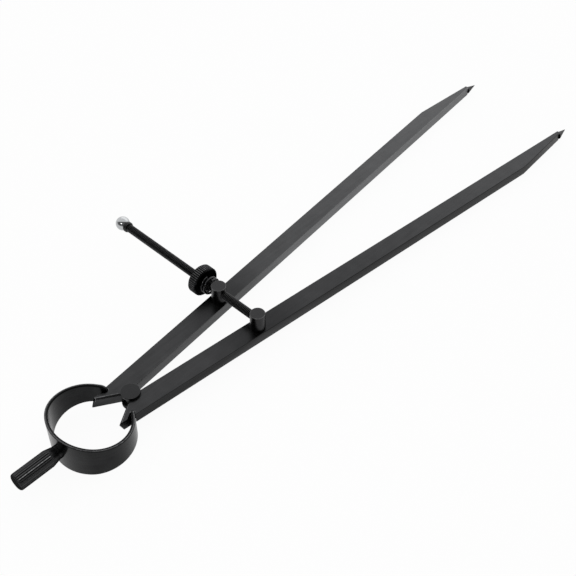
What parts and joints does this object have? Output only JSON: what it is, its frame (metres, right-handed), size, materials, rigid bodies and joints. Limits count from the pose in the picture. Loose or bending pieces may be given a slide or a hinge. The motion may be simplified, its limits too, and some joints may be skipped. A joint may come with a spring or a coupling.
{
  "type": "spring dividers",
  "caption": "Black steel spring dividers for scribing: flat pointed legs on a flanged stud, round bow spring, fluted handle, cross screw with knurled nut and bright ball end.",
  "frame": {"origin": "centre of the fulcrum stud's lower face", "axes": "+X from the handle to the points, halfway between the legs; +Y to the left leg, the side of the nut and ball; +Z along the fulcrum axis, to the side where the screw stands"},
  "size_m": [0.3605, 0.1227, 0.0245],
  "materials": {
    "black_steel": "black oxide, satin",
    "dark_steel": "black oxide, turned, slightly oily",
    "grey_steel": "plain steel, dulled",
    "chrome": "bright plated"
  },
  "bodies": {
    "frame": {"fulcrum_stud": "dark_steel", "bow_spring": "black_steel", "handle": "black_steel"},
    "left_leg": {"left_leg": "black_steel", "left_point": "black_steel"},
    "right_leg": {"right_leg": "black_steel", "right_point": "black_steel"},
    "left_post": {"left_post": "dark_steel", "left_post_washer": "grey_steel", "nut_spring": "grey_steel"},
    "right_post": {"right_post": "dark_steel", "right_post_washer": "grey_steel", "adjusting_screw": "dark_steel", "stop_collar": "dark_steel", "ball_end": "chrome"},
    "nut": {"adjusting_nut": "dark_steel"}
  },
  "joints": [
    {"name": "left_leg_swing", "type": "hinge", "parent": "frame", "child": "left_leg", "pos_m": [0, 0, 0.00405], "axis": [0, 0, 1], "range_deg": [-5.9, 23], "deforming": ["bow_spring"]},
    {"name": "right_leg_swing", "type": "hinge", "parent": "frame", "child": "right_leg", "pos_m": [0, 0, 0.00405], "axis": [0, 0, -1], "range_deg": [-5.9, 23], "deforming": ["bow_spring"]},
    {"name": "left_post_swivel", "type": "hinge", "parent": "left_leg", "child": "left_post", "pos_m": [0.06663, 0.01294, 0.00405], "axis": [0, 0, 1], "range_deg": [-23, 5.9]},
    {"name": "right_post_swivel", "type": "hinge", "parent": "right_leg", "child": "right_post", "pos_m": [0.06663, -0.01294, 0.00405], "axis": [0, 0, -1], "range_deg": [-23, 5.9]},
    {"name": "nut_spin", "type": "hinge", "parent": "left_post", "child": "nut", "pos_m": [0.06663, 0.01294, 0.01185], "axis": [0, 1, 0], "range_deg": [-5900, 23000], "deforming": ["bow_spring"]}
  ],
  "couplings": [
    {"joint": "left_leg_swing", "follows": "nut_spin", "ratio": 0.001},
    {"joint": "right_leg_swing", "follows": "nut_spin", "ratio": 0.001},
    {"joint": "left_post_swivel", "follows": "nut_spin", "ratio": -0.001},
    {"joint": "right_post_swivel", "follows": "nut_spin", "ratio": -0.001}
  ]
}
